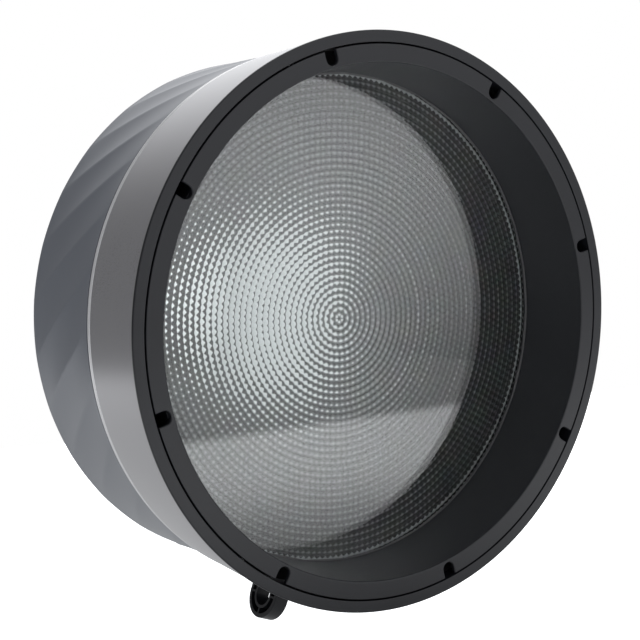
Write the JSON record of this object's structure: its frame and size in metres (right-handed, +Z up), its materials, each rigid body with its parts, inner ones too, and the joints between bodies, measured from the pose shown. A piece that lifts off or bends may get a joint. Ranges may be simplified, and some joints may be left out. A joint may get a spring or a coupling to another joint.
{
  "type": "grow lamp",
  "caption": "Round LED grow lamp head: fluted drum housing, deep black glare hood, prismatic lens behind glass, tilt knuckle, fan-cooled light engine and rear dimmer.",
  "frame": {"origin": "centre of the flat pad on the back, on the lamp's axis", "axes": "+Y points out of the back along the lamp's axis, so the light leaves towards -Y; +Z is up and +X is to the right as seen from the front"},
  "size_m": [0.3, 0.148, 0.3071],
  "materials": {
    "black_plastic": "fine matt texture, charcoal",
    "band_finish": "satin gunmetal paint",
    "bead_trim": "satin, a little lighter than the band",
    "shell_finish": "satin blue-grey paint",
    "clear_glass": "clear, polished",
    "prism_clear": "clear, moulded prisms",
    "rubber": "matt black",
    "reflector_metal": "bright, slightly hazy",
    "bare_aluminium": "plain mill finish",
    "copper": "bare copper",
    "phosphor": "yellow phosphor gel",
    "white_plastic": "plain white",
    "steel": "zinc plated",
    "fan_plastic": "moulded black",
    "wire_red": "soft wire sleeve",
    "wire_black": "soft wire sleeve"
  },
  "bodies": {
    "head": {"outer_rim": "black_plastic", "glare_hood": "black_plastic", "rear_cover": "black_plastic", "tilt_knuckle": "black_plastic", "inlet_insert": "black_plastic", "front_housing": "band_finish", "seam_bead": "bead_trim", "rear_shell": "shell_finish", "front_glass": "clear_glass", "prism_lens": "prism_clear", "glass_gasket": "rubber", "lens_gasket": "rubber", "housing_seal": "rubber", "reflector": "reflector_metal", "led_board": "bare_aluminium", "chassis_plate": "bare_aluminium", "heatsink": "bare_aluminium", "driver_case": "bare_aluminium", "driver_lid": "bare_aluminium", "heat_spreader": "copper", "led_emitter": "phosphor", "led_holder": "white_plastic", "hood_screw_1": "steel", "hood_screw_2": "steel", "hood_screw_3": "steel", "hood_screw_4": "steel", "hood_screw_5": "steel", "hood_screw_6": "steel", "hood_screw_7": "steel", "hood_screw_8": "steel", "cover_screw_1": "steel", "cover_screw_2": "steel", "cover_screw_3": "steel", "cover_screw_4": "steel", "standoff_1": "steel", "standoff_2": "steel", "standoff_3": "steel", "standoff_4": "steel", "pillar_1": "steel", "pillar_2": "steel", "pillar_3": "steel", "pillar_4": "steel", "fan_screw_1": "steel", "fan_screw_2": "steel", "fan_screw_3": "steel", "fan_screw_4": "steel", "knuckle_screw_1": "steel", "knuckle_screw_2": "steel", "power_inlet": "steel", "dimmer_body": "steel", "fan_frame": "fan_plastic", "led_lead_positive": "wire_red", "led_lead_negative": "wire_black", "fan_lead": "wire_black", "mains_lead": "wire_black", "dimmer_lead": "wire_black"},
    "fan": {"fan_rotor": "fan_plastic"},
    "dimmer": {"dimmer_knob": "black_plastic", "dimmer_shaft": "steel"}
  },
  "joints": [
    {"name": "fan_spin", "type": "hinge", "parent": "head", "child": "fan", "pos_m": [0, -0.022, 0], "axis": [0, -1, 0], "continuous": true},
    {"name": "dimmer_turn", "type": "hinge", "parent": "head", "child": "dimmer", "pos_m": [0.02032, -0.004, -0.0815], "axis": [0, -1, 0], "range_deg": [0, 270]}
  ]
}
